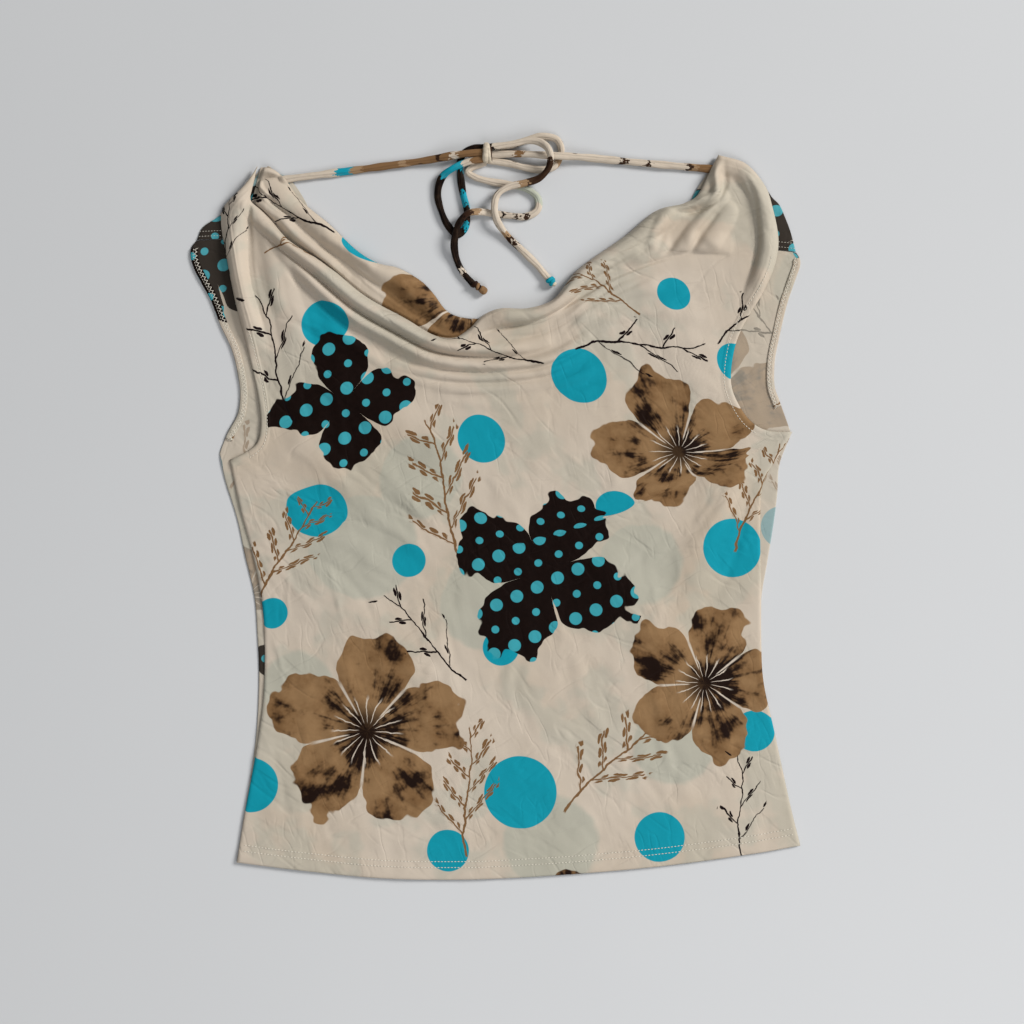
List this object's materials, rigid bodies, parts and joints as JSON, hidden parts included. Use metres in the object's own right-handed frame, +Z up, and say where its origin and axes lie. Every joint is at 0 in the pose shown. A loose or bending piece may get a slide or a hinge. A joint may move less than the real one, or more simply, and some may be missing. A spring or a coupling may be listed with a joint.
{
  "type": "cowl neck top",
  "caption": "Sleeveless printed jersey top laid flat, with a draped cowl neckline, open armholes and a neck tie knotted in a bow behind it.",
  "frame": {"origin": "under the middle of the cloth's outline, on the surface that the garment lies on", "axes": "+Z up off the surface, -Y towards the hem, +Y towards the shoulders, +X to the right as seen from above with the shoulders up"},
  "size_m": [0.4386, 0.536, 0.0139],
  "materials": {
    "jersey_right_side": "smooth printed jersey with a soft low sheen, cream ground",
    "jersey_wrong_side": "wrong side of the same jersey, paler and duller",
    "cord_cream": "rouleau cord of the same jersey, cream stretches",
    "cord_brown": "rouleau cord of the same jersey, dark brown stretches",
    "cord_turquoise": "end knot of the same jersey, turquoise stretch"
  },
  "bodies": {
    "root": {"back_panel": "jersey_wrong_side", "shoulder_return_left": "jersey_wrong_side", "shoulder_return_right": "jersey_wrong_side", "back_armhole_hem_left": "jersey_right_side", "back_armhole_hem_right": "jersey_right_side", "cowl_facing": "jersey_right_side", "front_panel": "jersey_right_side", "tie_strap_left": "cord_cream", "tie_strap_right": "cord_cream", "tie_loop_left": "cord_brown", "tie_loop_right": "cord_cream", "tie_tail_left": "cord_brown", "tie_tail_right": "cord_cream", "tie_knot": "cord_cream", "tail_knot_left": "cord_brown", "tail_knot_right": "cord_turquoise"}
  },
  "joints": []
}
